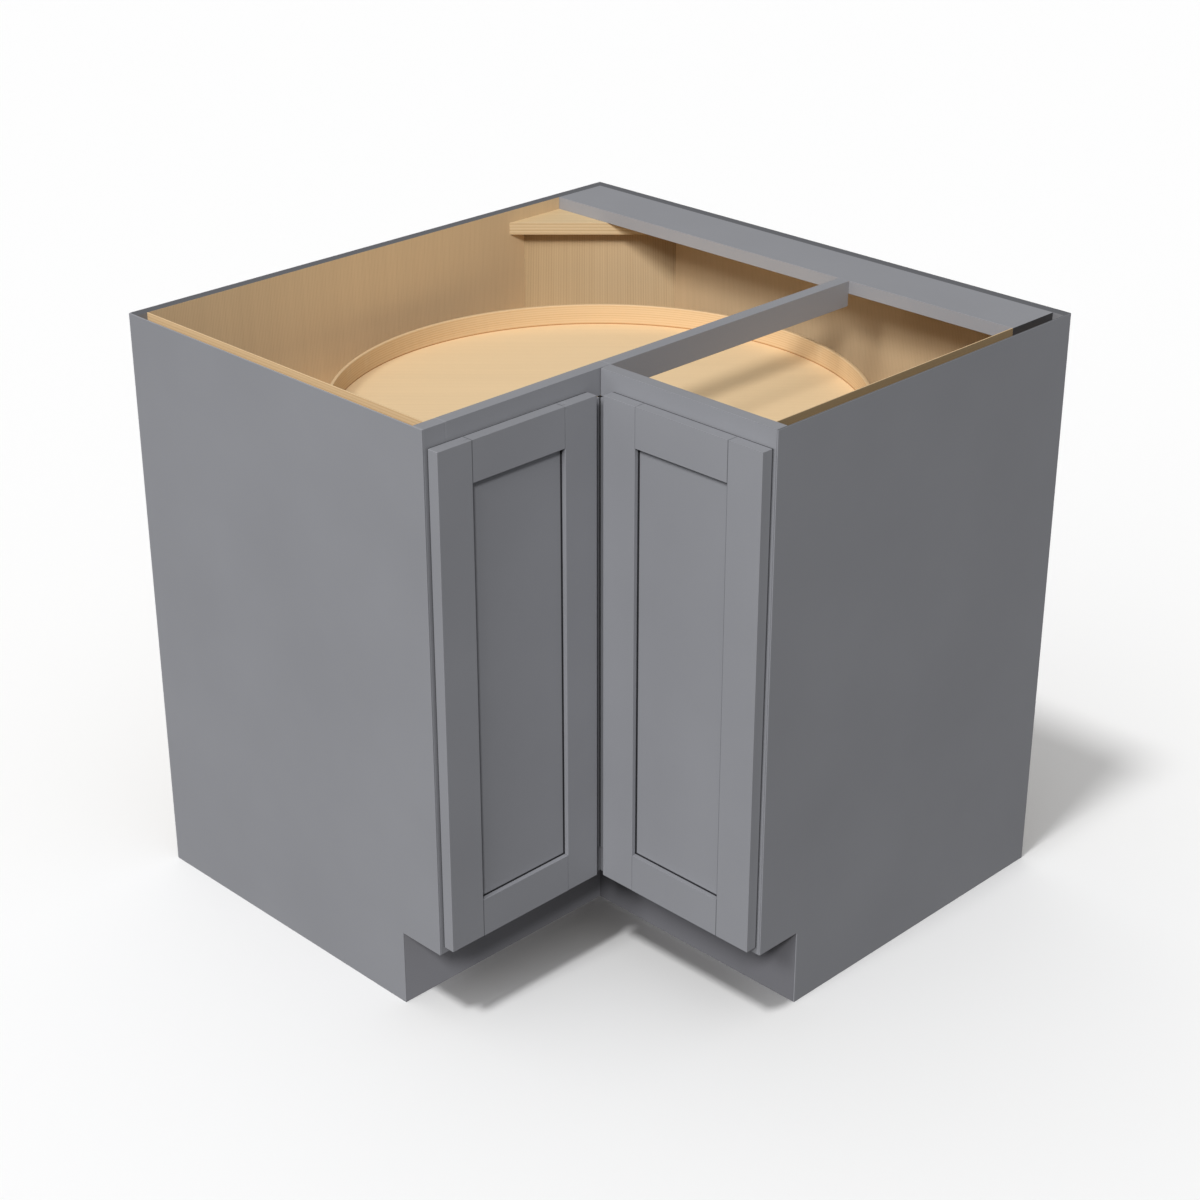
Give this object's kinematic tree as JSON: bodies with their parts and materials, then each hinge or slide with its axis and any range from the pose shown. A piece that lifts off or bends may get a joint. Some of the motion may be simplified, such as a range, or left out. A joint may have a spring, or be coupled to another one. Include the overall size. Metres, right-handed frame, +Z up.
{
  "type": "corner carousel cabinet",
  "caption": "L-shaped corner base cabinet, open on top for a worktop, with turning kidney-shaped trays behind a pair of recessed-panel doors that fold and swing aside together.",
  "frame": {"origin": "on the floor, under the middle of the cabinet's plan box, which is also the axis that the trays turn about", "axes": "+X the way the left wing's door faces, -Y the way the right wing's door faces, +Z up; the back panels are on the -X and +Y sides"},
  "size_m": [0.9144, 0.9144, 0.8763],
  "materials": {
    "grey_paint": "satin grey paint on wood",
    "toe_paint": "dull dark grey paint on wood",
    "plywood": "clear-coated plywood with a straight grain",
    "tray_wood": "clear-coated pale wood",
    "steel": "zinc-plated steel",
    "nickel": "satin nickel",
    "dark_steel": "steel with a dull dark finish",
    "bumper": "clear soft bumper"
  },
  "bodies": {
    "carcass": {"side_core_left": "plywood", "side_core_right": "plywood", "side_lining_left": "plywood", "side_lining_right": "plywood", "side_skin_left": "grey_paint", "side_skin_right": "grey_paint", "back_panel_left": "plywood", "back_panel_right": "plywood", "corner_back_panel": "plywood", "corner_gusset": "plywood", "back_stretcher": "grey_paint", "cross_rail": "grey_paint", "frame_top_rail_left": "grey_paint", "frame_top_rail_right": "grey_paint", "frame_stile_left": "grey_paint", "frame_stile_right": "grey_paint", "frame_bottom_rail_left": "grey_paint", "frame_bottom_rail_right": "grey_paint", "bottom_panel": "plywood", "bottom_cleats": "plywood", "toe_board_left": "toe_paint", "toe_board_right": "toe_paint", "fixed_shelf": "plywood", "shelf_cleats": "plywood", "riser_lower": "plywood", "riser_upper": "plywood", "bearing_base_lower": "steel", "bearing_base_upper": "steel", "bearing_balls_lower": "steel", "bearing_balls_upper": "steel", "bearing_screws_lower": "steel", "bearing_screws_upper": "steel", "hinge_plates": "nickel", "hinge_arms": "nickel", "hinge_plate_screws": "nickel"},
    "door_right": {"door_right_outer_stile": "grey_paint", "door_right_inner_stile": "grey_paint", "door_right_top_rail": "grey_paint", "door_right_bottom_rail": "grey_paint", "door_right_panel": "grey_paint", "mullion_strip_right": "grey_paint", "fold_hinge_leaf_right": "dark_steel", "fold_hinge_pin": "dark_steel", "hinge_cups": "nickel"},
    "door_left": {"door_left_outer_stile": "grey_paint", "door_left_inner_stile": "grey_paint", "door_left_top_rail": "grey_paint", "door_left_bottom_rail": "grey_paint", "door_left_panel": "grey_paint", "mullion_strip_left": "grey_paint", "fold_hinge_leaf_left": "dark_steel", "door_bumpers": "bumper"},
    "tray_lower": {"bearing_top_lower": "steel", "tray_screws_lower": "steel", "tray_floor_lower": "tray_wood", "tray_rim_lower": "tray_wood"},
    "tray_upper": {"bearing_top_upper": "steel", "tray_screws_upper": "steel", "tray_floor_upper": "tray_wood", "tray_rim_upper": "tray_wood"}
  },
  "joints": [
    {"name": "door_right_hinge", "type": "hinge", "parent": "carcass", "child": "door_right", "pos_m": [0.4518, -0.17305, 0.489], "axis": [0, 0, 1], "range_deg": [0, 160]},
    {"name": "door_fold", "type": "hinge", "parent": "door_right", "child": "door_left", "pos_m": [0.151, -0.151, 0.4953], "axis": [0, 0, 1], "range_deg": [-80, 0]},
    {"name": "tray_lower_turn", "type": "hinge", "parent": "carcass", "child": "tray_lower", "pos_m": [0, 0, 0.18], "axis": [0, 0, 1], "range_deg": [-25, 25]},
    {"name": "tray_upper_turn", "type": "hinge", "parent": "carcass", "child": "tray_upper", "pos_m": [0, 0, 0.71], "axis": [0, 0, 1], "range_deg": [-25, 25]}
  ],
  "couplings": [
    {"joint": "door_fold", "follows": "door_right_hinge", "ratio": -0.5}
  ]
}
